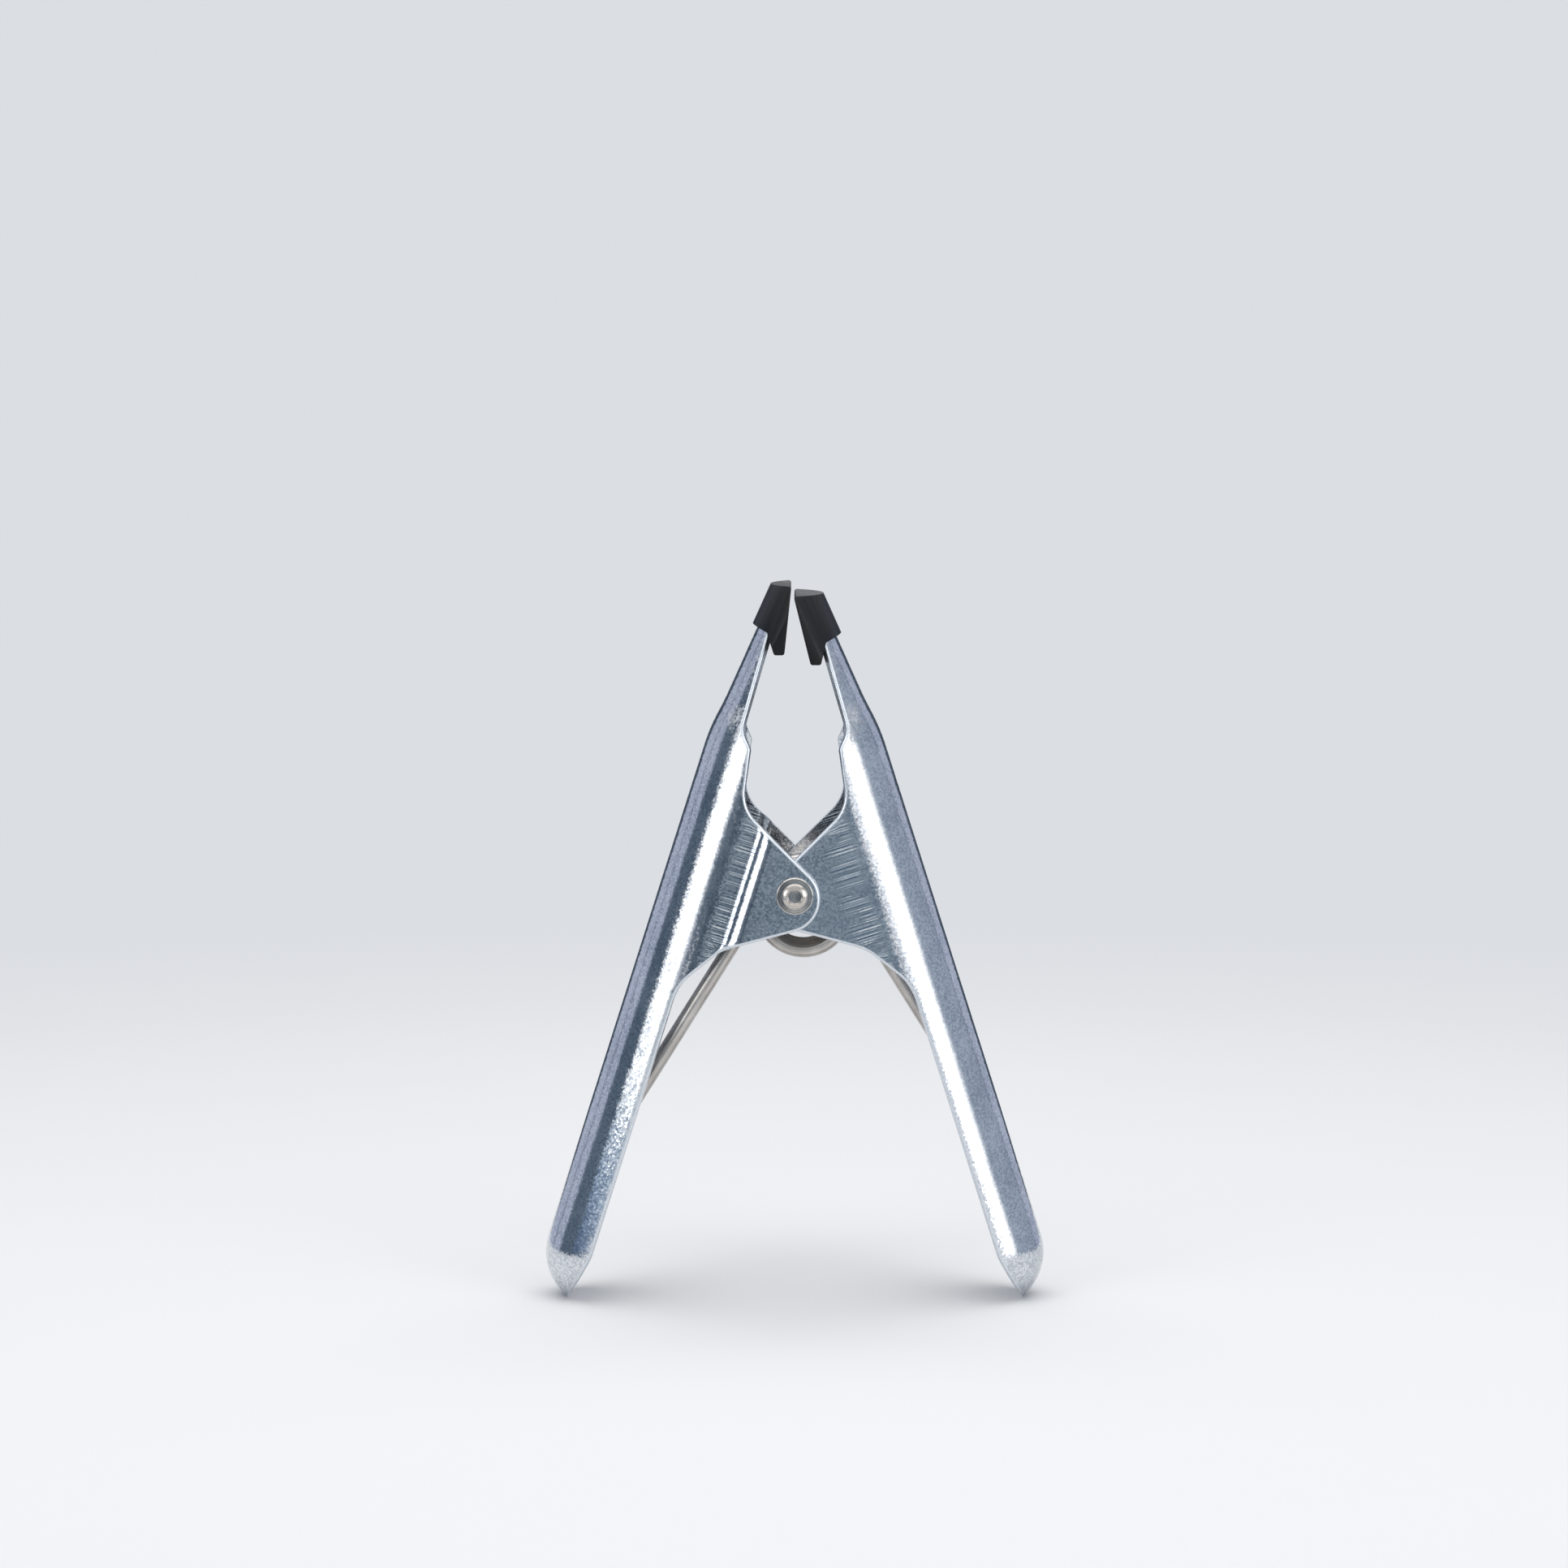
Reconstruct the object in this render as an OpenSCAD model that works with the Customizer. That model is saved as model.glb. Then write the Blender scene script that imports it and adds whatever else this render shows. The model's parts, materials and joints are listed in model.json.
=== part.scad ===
// Hand spring clamp that holds a file or an edge guide while an edge is tuned.
// Two pressed half-round levers turn on one tubular rivet, a torsion spring holds the jaws shut
// and a moulded cap covers each jaw. It stands jaws up, with the pivot axis front to back.

/* [Levers] */
// Angle of each handle from the centre line, in degrees
handle_tilt = 17.6; // [16:0.1:19]
// Distance from the pivot to the back of a lever
back_reach = 19.1; // [18.6:0.1:20]
// Outside radius of the half-round back
back_r = 8.5; // [8.2:0.1:9]
// Thickness of the pressed sheet
sheet = 1; // [0.8:0.05:1.2]
// Height of the handle channel, from its back to its edge
handle_h = 6.8; // [6:0.1:7.4]
// Distance from the pivot to the middle of the domed nose, along the lever
nose_reach = 60.6; // [54:0.2:70]
// Angle at which the channel's edge runs out at the nose, in degrees
nose_cut = 11; // [6:0.5:13]

/* [Ears] */
// Radius of the ear's lobe
lobe_r = 4.9; // [4.8:0.1:5.3]
// How far the lobe's middle lies back from the pivot
lobe_back = 1; // [0.8:0.1:1.1]
// How far the lobe's middle lies below the pivot, along the lever
lobe_low = 0.9; // [0.6:0.1:1]
// Slope of the ear's upper edge, in degrees from level
ear_top_slope = 45; // [42:1:48]
// Slope of the ear's lower edge near the lobe, in degrees from level
ear_low_slope = 15; // [12:1:18]
// Where the ear's upper edge turns into the throat, measured back from the pivot
throat_back = 11.1; // [10.8:0.1:11.6]
// Radius of the throat
throat_r = 6; // [4:0.5:7]
// Where the ear's lower edge turns down, measured back from the pivot
ear_turn = 7.5; // [6.5:0.1:8.5]
// How far below the pivot the ear runs into the handle's edge
ear_foot = 18; // [17:0.2:22]
// Radius of the arch under the ear
arch_r = 8; // [5:0.5:9]
// Where the outer ears begin to step outwards, measured back from the pivot
step_far = 7.5; // [7.2:0.1:8]
// Where that step ends, measured back from the pivot
step_near = 5.8; // [5.4:0.1:6.2]
// Clearance between an outer ear and the inner ear beside it
ear_gap = 0.15; // [0.1:0.01:0.3]

/* [Jaws] */
// Distance from the pivot to the crease below the jaw, along the lever
crease_reach = 18.4; // [18:0.1:20]
// Depth of the pressed shoulder at the crease
crease_step = 0.25; // [0.2:0.05:0.35]
// Extra inward bend of the jaw at the crease, in degrees
jaw_bend = 6.5; // [6:0.1:7]
// Length of the jaw from the crease to its tip
jaw_len = 21.4; // [20.5:0.1:22]
// Radius of the half-round jaw at its tip
jaw_tip_r = 7; // [6.8:0.1:7.6]
// Distance from the pivot line to the jaw's edge at the tip
jaw_edge = 15.4; // [15.2:0.05:15.6]
// Distance from the pivot line to the jaw's edge at the dip above the crease
dip_edge = 14.7; // [14.3:0.05:15.1]
// Distance from the pivot line to the bump of the edge at the crease
bump_edge = 12.7; // [12.5:0.1:13]
// Radius of the bump
bump_r = 1; // [0.5:0.1:1.5]
// Angle between the edge above the bump and the lever, in degrees
dip_slope = 44; // [38:1:48]
// Radius of the dip above the bump
dip_r = 3.5; // [2:0.5:4]

/* [Jaw caps] */
// Thickness of the outer lever's cap over the tip of its jaw
cap_roof = 2.1; // [1.9:0.05:3]
// How much further the inner lever's cap is pushed on
cap_seat = 1.5; // [0:0.1:1.6]
// Where the gripping faces meet, measured from the centre line towards the outer lever
pad_side = 0.35; // [0:0.05:0.5]
// Gap between the two gripping faces at the top
pad_gap = 0.3; // [0.2:0.05:0.5]
// Lean of the outer lever's gripping face, in degrees
outer_lean = 6; // [4:0.5:8]
// Lean of the inner lever's gripping face, in degrees
inner_lean = 14; // [11:0.5:15]
// Length of jaw that the sleeve covers
cap_cover = 4.4; // [3.9:0.1:4.9]
// How far the pad's tongue hangs below the sleeve's edge
tongue_len = 3.2; // [2:0.1:3.4]
// Thickness of the tongue at its end
tongue_t = 1.5; // [1.2:0.1:1.8]
// Wall of the cap outside the jaw
cap_wall = 0.7; // [0.5:0.05:0.9]
// Half of the cap's depth, front to back
cap_half = 6.9; // [6.7:0.1:7.2]
// Clearance between the cap and the jaw inside it
cap_clear = 0.08; // [0.05:0.01:0.12]
// Radius of the cap's outer top edge
cap_round = 1.2; // [0.6:0.1:1.5]
// Radius of the cap's other edges
pad_round = 0.4; // [0.2:0.05:0.5]

/* [Rivet] */
// Radius of the rivet's shank
shank_r = 1.7; // [1.5:0.05:1.9]
// Radial clearance of the ears' holes round the shank
pin_clear = 0.05; // [0.02:0.01:0.1]
// Clearance between a rivet head and the ear under it
head_clear = 0.05; // [0.02:0.01:0.2]
// Radius of the flat rear head
head_r = 3.6; // [3.2:0.1:3.8]
// Height of both heads
head_h = 1.2; // [1:0.05:1.5]
// Radius of the rolled front end
roll_r = 3; // [2.8:0.1:3.4]
// Radius of the hole in the rolled end
hollow_r = 1.15; // [0.9:0.05:1.3]
// Depth of the hole in the rolled end
hollow_depth = 5; // [3:0.5:8]

/* [Spring] */
// Diameter of the spring's wire
wire_d = 2.2; // [2:0.05:2.25]
// Radius of the coil at the middle of the wire
coil_r = 6.1; // [5.9:0.05:6.4]
// Full turns of the coil, besides the part turn between the legs
coil_turns = 3; // [2:1:3]
// Axial distance from turn to turn
coil_pitch = 2.75; // [2.7:0.05:2.9]
// Clearance between the hanging coil and the rivet
coil_clear = 0.2; // [0.15:0.05:0.5]
// How far the coil sits towards the inner lever
coil_shift = 1.2; // [0:0.1:1.4]
// Angle of each leg from the centre line, in degrees
leg_tilt = 32; // [30:0.5:34]
// Clearance between a leg's end and the channel that it presses on
leg_clear = 0.3; // [0.2:0.05:0.5]

/* [Hidden] */
$fn = 96;
zinc = [0.66, 0.71, 0.77];
bright_steel = [0.72, 0.70, 0.67];
spring_steel = [0.64, 0.62, 0.59];
black_plastic = [0.08, 0.09, 0.10];
// How far a cutting shape reaches past what it cuts
over = 1;
// Rings in one turn and in one leg of the spring, sides of its wire, points in one turn of its gap test
curl_rings = 8;
leg_rings = 3;
wire_sides = 6;
gap_points = 24;

// Each lever has its own frame: pivot at the origin, y along the lever to the jaw, x inwards
pipe_x = back_r - back_reach;
handle_x = handle_h - back_reach;
far_x = -back_reach - over;
ear_step = sheet + ear_gap;
ear_face = back_r + ear_step;
nose_end = -nose_reach - back_r - over;
deep = 2 * (ear_face + over);

// Points that round corner b of the path a, b, c with radius r
function unit(v) = v / norm(v);
function corner_arc(a, b, c, r, steps) =
    let (u = unit(a - b), v = unit(c - b), half = acos(u * v) / 2)
    let (middle = b + unit(u + v) * r / sin(half))
    let (first = b + u * r / tan(half) - middle, last = b + v * r / tan(half) - middle)
    let (start = atan2(first.y, first.x), turn = atan2(last.y, last.x) - start)
    let (sweep = turn > 180 ? turn - 360 : turn < -180 ? turn + 360 : turn)
    [for (k = [0:steps]) let (t = start + sweep * k / steps) middle + r * [cos(t), sin(t)]];

// A closed path from corners [point, radius], each rounded by its radius
function rounded(corners, steps = 8) =
    let (count = len(corners))
    [for (i = [0:count - 1])
        let (a = corners[(i + count - 1) % count][0], b = corners[i][0], c = corners[(i + 1) % count][0])
        each corners[i][1] > 0 ? corner_arc(a, b, c, corners[i][1], steps) : [b]];

// The ear's straight edges touch the lobe, which rounds the corner where they would meet
top_dir = ear_top_slope - handle_tilt;
low_dir = ear_low_slope + handle_tilt;
lobe_aim = (low_dir - top_dir) / 2;
lobe_reach = lobe_r / sin((top_dir + low_dir) / 2);
lobe_corner = lobe_reach * [cos(lobe_aim), sin(lobe_aim)] - [lobe_back, lobe_low];
function on_top_edge(x) = [x, lobe_corner.y + (lobe_corner.x - x) * tan(top_dir)];
function on_low_edge(x) = [x, lobe_corner.y - (lobe_corner.x - x) * tan(low_dir)];

// Side outline of a lever: jaw edge, bump, throat, ear, handle edge and nose, closed behind the back
dip_y = crease_reach + (dip_edge - bump_edge) / tan(dip_slope);
jaw_end = crease_reach + jaw_len + over;
nose_run = (back_r + over) * tan(nose_cut);
lever_path = rounded([
    [[-jaw_edge, jaw_end], 0],
    [[-dip_edge, dip_y], dip_r],
    [[-bump_edge, crease_reach], bump_r],
    [on_top_edge(-throat_back), throat_r],
    [lobe_corner, lobe_r],
    [on_low_edge(-ear_turn), arch_r],
    [[handle_x, -ear_foot], arch_r],
    [[handle_x, -nose_reach], back_r],
    [[handle_x - nose_run, nose_end], 0],
    [[far_x, nose_end], 0],
    [[far_x, jaw_end], 0]]);

// The clamp stands on its noses, where the channel's edge crosses the dome's outline
cut_dir = [-sin(nose_cut), -cos(nose_cut)];
to_edge = [handle_x - pipe_x, 0];
cut_run = -(to_edge * cut_dir) + sqrt(pow(to_edge * cut_dir, 2) - to_edge * to_edge + back_r * back_r);
nose_tip = [handle_x, -nose_reach] + cut_run * cut_dir;
stand_h = nose_tip.x * sin(handle_tilt) - nose_tip.y * cos(handle_tilt);

// From the flat drawing, y to the jaws and z to the front, to the standing clamp
module stand() {
    translate([0, 0, stand_h])
        rotate([90, 0, 0])
            children();
}

module lever_frame() {
    rotate([0, 0, -handle_tilt])
        children();
}

// The jaw's own frame starts at the crease, on the back of the jaw
jaw_root = [crease_step - back_reach, crease_reach];
module jaw_frame() {
    translate(jaw_root)
        rotate([0, 0, -jaw_bend])
            children();
}

// Solid round bar with a domed nose, drawn in by skin
module channel_bar(skin) {
    translate([pipe_x, -nose_reach, 0]) {
        rotate([-90, 0, 0])
            cylinder(r = back_r - skin, h = nose_reach + crease_reach);
        sphere(r = back_r - skin);
    }
}

// Solid tapering jaw with a straight back, drawn in by skin and reaching past the tip
root_r = back_r - crease_step;
jaw_taper = atan((root_r - jaw_tip_r) / jaw_len);
module jaw_bar(skin, past) {
    grow = tan(jaw_taper);
    run = jaw_len + past;
    jaw_frame()
        rotate([0, 0, jaw_taper])
            translate([root_r, -over, 0])
                rotate([-90, 0, 0])
                    cylinder(
                        r1 = root_r - skin + over * grow,
                        r2 = root_r - skin - run * grow,
                        h = over + run);
}

// Pressed shell of the jaw from its shoulder to its tip, swollen by clear on every side
module jaw_shell(clear) {
    shoulder = crease_reach - crease_step;
    intersection() {
        difference() {
            jaw_bar(-clear, over);
            jaw_bar(sheet + clear, over);
        }
        translate([far_x, shoulder, -deep / 2])
            cube([back_reach, jaw_end - shoulder, deep]);
        jaw_frame()
            translate([-over, -jaw_len, -deep / 2])
                cube([back_reach, 2 * jaw_len + clear, deep]);
        translate([clear, 0, -deep / 2])
            linear_extrude(deep)
                polygon(lever_path);
    }
}

// Half-round shell of the handle, from the nose to the crease
module handle_shell() {
    difference() {
        channel_bar(0);
        channel_bar(sheet);
        translate([pipe_x, nose_end, -deep / 2])
            cube([back_reach, crease_reach - nose_end + over, deep]);
    }
}

// Flat plate that the ear is cut from, rooted in the round back's wall and stepped outwards by lift
module ear_plate(lift) {
    low = back_r - sheet;
    inner_x = lobe_r + over;
    root = [pipe_x - sheet / 2, back_r - sheet / 2];
    translate([0, crease_reach, 0])
        rotate([90, 0, 0])
            linear_extrude(crease_reach + ear_foot + arch_r)
                polygon([
                    root, [pipe_x, low], [-step_far, low], [-step_near, low + lift], [inner_x, low + lift],
                    [inner_x, back_r + lift], [-step_near, back_r + lift], [-step_far, back_r],
                    [pipe_x, back_r]]);
}

// A whole lever in its own frame, its ears stepped outwards by lift
module lever(lift) {
    difference() {
        intersection() {
            union() {
                handle_shell();
                jaw_shell(0);
                ear_plate(lift);
                mirror([0, 0, 1])
                    ear_plate(lift);
            }
            translate([0, 0, -deep / 2])
                linear_extrude(deep)
                    polygon(lever_path);
        }
        translate([0, 0, -deep / 2])
            cylinder(r = shank_r + pin_clear, h = deep);
    }
}

// Cap on the outer lever's side of the centre line, pushed on by seat, its gripping face starting at face
function turned(p, angle) = [p.x * cos(angle) + p.y * sin(angle), p.y * cos(angle) - p.x * sin(angle)];
function in_jaw(p) = turned(jaw_root + turned(p, jaw_bend), handle_tilt);
module jaw_cap(seat, face, face_lean) {
    lean = handle_tilt + jaw_bend;
    wall = cap_wall + cap_clear;
    start = jaw_len - cap_cover - seat;
    top = in_jaw([0, jaw_len]).y + cap_roof - seat * cos(lean);
    sleeve_back = in_jaw([-wall - over, start]);
    sleeve_front = in_jaw([-jaw_root.x - jaw_edge - start * tan(jaw_bend), start]);
    tongue_y = sleeve_front.y - tongue_len;
    tongue_x = -face - (top - tongue_y) * tan(face_lean);
    roof_back = [sleeve_back.x + (top - sleeve_back.y) * tan(lean), top];
    difference() {
        intersection() {
            translate([0, 0, -cap_half])
                linear_extrude(2 * cap_half)
                    polygon(rounded([
                        [[-face, top], pad_round],
                        [roof_back, cap_round],
                        [sleeve_back, 0],
                        [sleeve_front, 0],
                        [[tongue_x - tongue_t, tongue_y], pad_round],
                        [[tongue_x, tongue_y], pad_round]]));
            lever_frame() {
                jaw_bar(-wall, cap_roof + back_r);
                jaw_frame()
                    translate([jaw_tip_r, 0, -deep / 2])
                        cube([back_reach, jaw_len + cap_roof + back_r, deep]);
            }
        }
        lever_frame()
            jaw_shell(cap_clear);
    }
}

module outer_lever() {
    color(zinc)
        lever_frame()
            lever(ear_step);
}

module inner_lever() {
    color(zinc)
        mirror([1, 0, 0])
            lever_frame()
                lever(0);
}

module outer_jaw_cap() {
    color(black_plastic)
        jaw_cap(0, pad_gap / 2 + pad_side, outer_lean);
}

module inner_jaw_cap() {
    color(black_plastic)
        mirror([1, 0, 0])
            jaw_cap(cap_seat, pad_gap / 2 - pad_side, inner_lean);
}

// Flat rear head, plain shank and a front end that is rolled over the outer ear
module pivot_rivet() {
    seat = ear_face + head_clear;
    roll = (roll_r - hollow_r) / 2;
    color(bright_steel)
        rotate_extrude()
            polygon(rounded([
                [[0, -seat - head_h], 0],
                [[head_r, -seat - head_h], head_h / 4],
                [[head_r, -seat], head_h / 4],
                [[shank_r, -seat], 0],
                [[shank_r, seat], 0],
                [[roll_r, seat], head_h / 4],
                [[roll_r, seat + head_h], roll * 0.9],
                [[hollow_r, seat + head_h], roll * 0.9],
                [[hollow_r, seat + head_h - hollow_depth], 0],
                [[0, seat + head_h - hollow_depth], 0]]));
}

// Middle line of the spring: left leg, coil and right leg
coil_hang = coil_r - wire_d / 2 - shank_r - coil_clear;
coil_drop = sqrt(coil_hang * coil_hang - coil_shift * coil_shift);
coil_sweep = 360 * coil_turns + 180 - 2 * leg_tilt;
coil_side = coil_pitch * coil_sweep / 720;
wall_room = back_r - sheet - wire_d / 2 - leg_clear;
wall_x = pipe_x - sqrt(wall_room * wall_room - coil_side * coil_side);
function coil_point(a, r) =
    let (t = 180 - leg_tilt - a)
    [coil_shift + r * cos(t), r * sin(t) - coil_drop, coil_side * (1 - 2 * a / coil_sweep)];
// Length of the leg that leaves the coil at x, y, with x measured inwards from its own lever's side
function leg_len(x, y) = (turned([x, y], -handle_tilt).x - wall_x) / sin(leg_tilt - handle_tilt);
// The straight stretches between the rings lie outside the coil's circle, so the rivet stays clear
function spring_line(per_turn) =
    let (steps = ceil(coil_sweep * per_turn / 360), ring_r = coil_r / cos(coil_sweep / steps / 2))
    let (first = coil_point(0, coil_r), last = coil_point(coil_sweep, coil_r))
    let (left = leg_len(first.x, first.y), right = leg_len(-last.x, last.y))
    concat(
        [for (k = [leg_rings:-1:1]) first - left * k / leg_rings * [sin(leg_tilt), cos(leg_tilt), 0]],
        [first],
        [for (k = [1:steps - 1]) coil_point(coil_sweep * k / steps, ring_r)],
        [last],
        [for (k = [1:leg_rings]) last + right * k / leg_rings * [sin(leg_tilt), -cos(leg_tilt), 0]]);

// Least gap of the wire to itself, between points more than half a turn apart
gap_line = spring_line(gap_points);
least_gap = min([
    for (i = [0:len(gap_line) - 1])
        for (j = [i + gap_points / 2:1:len(gap_line) - 1])
            norm(gap_line[i] - gap_line[j])]) - wire_d;
echo(spring_least_gap_mm = least_gap);

// One unbroken tube along a line of points
module tube(line, width, sides) {
    last = len(line) - 1;
    rings = [for (i = [0:last])
        let (ahead = unit(line[min(i + 1, last)] - line[max(i - 1, 0)]))
        let (across = unit(cross(ahead, [0, 0, 1])), up = cross(across, ahead))
        for (k = [0:sides - 1])
            line[i] + width / 2 * (cos(360 * k / sides) * across + sin(360 * k / sides) * up)];
    walls = [for (i = [0:last - 1])
        for (k = [0:sides - 1])
            let (a = i * sides + k, b = i * sides + (k + 1) % sides)
            each [[a, b, a + sides], [b, b + sides, a + sides]]];
    ends = [for (k = [1:sides - 2])
        each [[0, k + 1, k], [last * sides, last * sides + k, last * sides + k + 1]]];
    polyhedron(rings, concat(walls, ends));
}

module torsion_spring() {
    color(spring_steel)
        tube(spring_line(curl_rings), wire_d, wire_sides);
}

stand() outer_lever();
stand() inner_lever();
stand() pivot_rivet();
stand() torsion_spring();
stand() outer_jaw_cap();
stand() inner_jaw_cap();
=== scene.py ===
import json
import math

import bmesh
import bpy
from mathutils import Euler, Matrix, Quaternion, Vector
from mathutils.geometry import delaunay_2d_cdt
from mathutils.kdtree import KDTree


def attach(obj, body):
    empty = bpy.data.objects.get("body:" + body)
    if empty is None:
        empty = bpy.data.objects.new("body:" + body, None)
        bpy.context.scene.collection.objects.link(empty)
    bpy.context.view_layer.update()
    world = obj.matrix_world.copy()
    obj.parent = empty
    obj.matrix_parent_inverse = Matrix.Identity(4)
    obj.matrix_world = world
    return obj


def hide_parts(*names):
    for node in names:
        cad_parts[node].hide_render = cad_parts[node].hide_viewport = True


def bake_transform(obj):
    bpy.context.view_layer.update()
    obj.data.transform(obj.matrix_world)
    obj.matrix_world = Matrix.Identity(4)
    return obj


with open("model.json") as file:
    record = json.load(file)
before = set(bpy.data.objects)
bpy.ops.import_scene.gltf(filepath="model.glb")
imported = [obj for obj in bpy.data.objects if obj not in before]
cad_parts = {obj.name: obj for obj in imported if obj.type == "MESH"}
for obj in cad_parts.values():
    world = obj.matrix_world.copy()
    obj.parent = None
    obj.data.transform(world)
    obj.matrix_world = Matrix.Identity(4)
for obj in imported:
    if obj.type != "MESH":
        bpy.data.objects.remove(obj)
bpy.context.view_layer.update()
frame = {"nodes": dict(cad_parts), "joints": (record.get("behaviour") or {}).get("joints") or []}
mm = 0.001
pivot = Vector(frame["joints"][0]["pos_m"])
print("frame loaded, pivot at", [round(c / mm, 2) for c in pivot], "mm")


def linear(hexColour):  # sRGB hex to the linear colour that a socket takes
    channels = [int(hexColour[i:i + 2], 16) / 255 for i in (1, 3, 5)]
    return [c / 12.92 if c <= 0.04045 else ((c + 0.055) / 1.055) ** 2.4 for c in channels] + [1.0]


def addNode(tree, kind, inputs=None, **settings):
    node = tree.nodes.new(kind)
    for name, value in settings.items():
        setattr(node, name, value)
    for key, value in (inputs or {}).items():
        if isinstance(value, bpy.types.NodeSocket):
            tree.links.new(value, node.inputs[key])
        else:
            node.inputs[key].default_value = value
    return node


def newMaterial(name, **shaderInputs):  # an underscore in an input's name stands for a space
    material = bpy.data.materials.new(name)
    material.use_nodes = True
    tree = material.node_tree
    tree.nodes.clear()
    inputs = {key.replace("_", " "): value for key, value in shaderInputs.items()}
    shader = addNode(tree, "ShaderNodeBsdfPrincipled", inputs)
    addNode(tree, "ShaderNodeOutputMaterial", {"Surface": shader.outputs[0]})
    return material, tree, shader


def newObject(name, mesh, *materials):
    obj = bpy.data.objects.new(name, mesh)
    bpy.context.scene.collection.objects.link(obj)
    for material in materials:
        mesh.materials.append(material)
    return obj


def smoothStep(low, high, value):
    share = min(max((value - low) / (high - low), 0.0), 1.0)
    return share * share * (3 - 2 * share)


# Camera, in mm and degrees: the rivet's front sits on its pixel of the 1932 px photograph
view = dict(pixels=1932, rivetPixel=(979.5, 1105.5), focalPixels=7089, sensor=36, elevation=8.0,
            distance=837.0, frontOfRivet=10.85)


def makeCamera():
    data = bpy.data.cameras.new("photo_camera")
    camera = bpy.data.objects.new("photo_camera", data)
    bpy.context.scene.collection.objects.link(camera)
    data.sensor_width = view["sensor"]
    data.lens = view["focalPixels"] / view["pixels"] * data.sensor_width
    right, down = [math.atan2(p - view["pixels"] / 2, view["focalPixels"]) for p in view["rivetPixel"]]
    tilt = math.radians(view["elevation"])
    back = Vector((0, -math.cos(tilt), math.sin(tilt)))
    target = pivot - Vector((0, view["frontOfRivet"] * mm, 0))
    camera.location = target + back * view["distance"] * mm
    camera.rotation_euler = Euler((math.pi / 2 - tilt + down, 0, right))
    bpy.context.scene.camera = camera
    print("camera lens", round(data.lens, 1), "mm")


makeCamera()

# Stage, in mm: pale paper that runs out into a pale background, the same from every side
stage = dict(radius=4000.0, segments=64, paper="#EDEEF0", roughness=0.9, gloss=0.1, far="#DBDEE3",
             fade=(150.0, 460.0))


def seenRays(tree):  # 1 for rays of the camera, mirrors and glass, which see the pale background
    path = addNode(tree, "ShaderNodeLightPath").outputs
    seen = path["Is Camera Ray"]
    for kind in ("Is Glossy Ray", "Is Transmission Ray"):
        seen = addNode(tree, "ShaderNodeMath", {0: seen, 1: path[kind]}, operation="MAXIMUM").outputs[0]
    return seen


def makeStage():
    work = bmesh.new()
    bmesh.ops.create_circle(work, cap_ends=True, radius=stage["radius"] * mm, segments=stage["segments"])
    mesh = bpy.data.meshes.new("floor")
    work.to_mesh(mesh)
    work.free()
    material, tree, shader = newMaterial("matt_studio_paper", Base_Color=linear(stage["paper"]),
                                         Roughness=stage["roughness"], Specular_IOR_Level=stage["gloss"])
    place = addNode(tree, "ShaderNodeTexCoord").outputs["Object"]
    away = addNode(tree, "ShaderNodeVectorMath", {0: place}, operation="LENGTH").outputs["Value"]
    near, far = stage["fade"]
    fade = addNode(tree, "ShaderNodeMapRange", {"Value": away, "From Min": near * mm, "From Max": far * mm},
                   interpolation_type="SMOOTHSTEP").outputs[0]
    share = addNode(tree, "ShaderNodeMath", {0: fade, 1: seenRays(tree)}, operation="MULTIPLY").outputs[0]
    glow = addNode(tree, "ShaderNodeEmission", {"Color": linear(stage["far"])})
    both = addNode(tree, "ShaderNodeMixShader", {0: share, 1: shader.outputs[0], 2: glow.outputs[0]})
    tree.links.new(both.outputs[0], tree.nodes["Material Output"].inputs["Surface"])
    newObject("floor", mesh, material)


# Boards: tinted screens round the object that glow with their own tone and are seen only in the steel's
# reflections, where they paint its light and dark bands. The camera doesn't see them, and they cast no
# shadow. Each runs between two azimuths from the front, in degrees, with a foot and a top in mm, how far
# both climb for each degree, and a left and a right tone. The low ones shade the left handle to its nose
boards = dict(distance=200.0, step=4.0, screens=[
    ("middle", 0, 5, 0, 75, 0, "#818F9B", "#8E9DAA"),
    ("front", 5, 11, 0, 75, 0, "#566473", "#8493A1"),
    ("bend", 11, 17, 0, 75, 0, "#566473", "#95A4B2"),
    ("inner", 17, 28, 38, 85, 0, "#5F6F80", None),
    ("lowDark", 34, 66, -36, -4, 1, "#5A6E8B", None),
    ("lowMiddle", 24, 66, -14, -4, 1, "#7B92B0", None),
    ("lowLight", 17, 66, -11, -2, 1, "#B1C6DB", None),
    ("lowPale", 17, 66, -2, 8, 1, "#F4F8FC", None),
    ("side", 66, 94, 0, 170, 0, "#5F6F80", "#AAB6C6"),
    ("pale", 94, 113, 0, 170, 0, "#BDC4D8", "#A9B3C5"),
    ("seam", 113, 116, 0, 170, 0, "#7F889B", "#8B95A8"),
    ("edge", 116, 142, 0, 170, 0, "#BDC4D8", "#BDC4D8"),
    ("rear", 142, 164, 0, 170, 0, "#465261", "#465261")])


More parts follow.
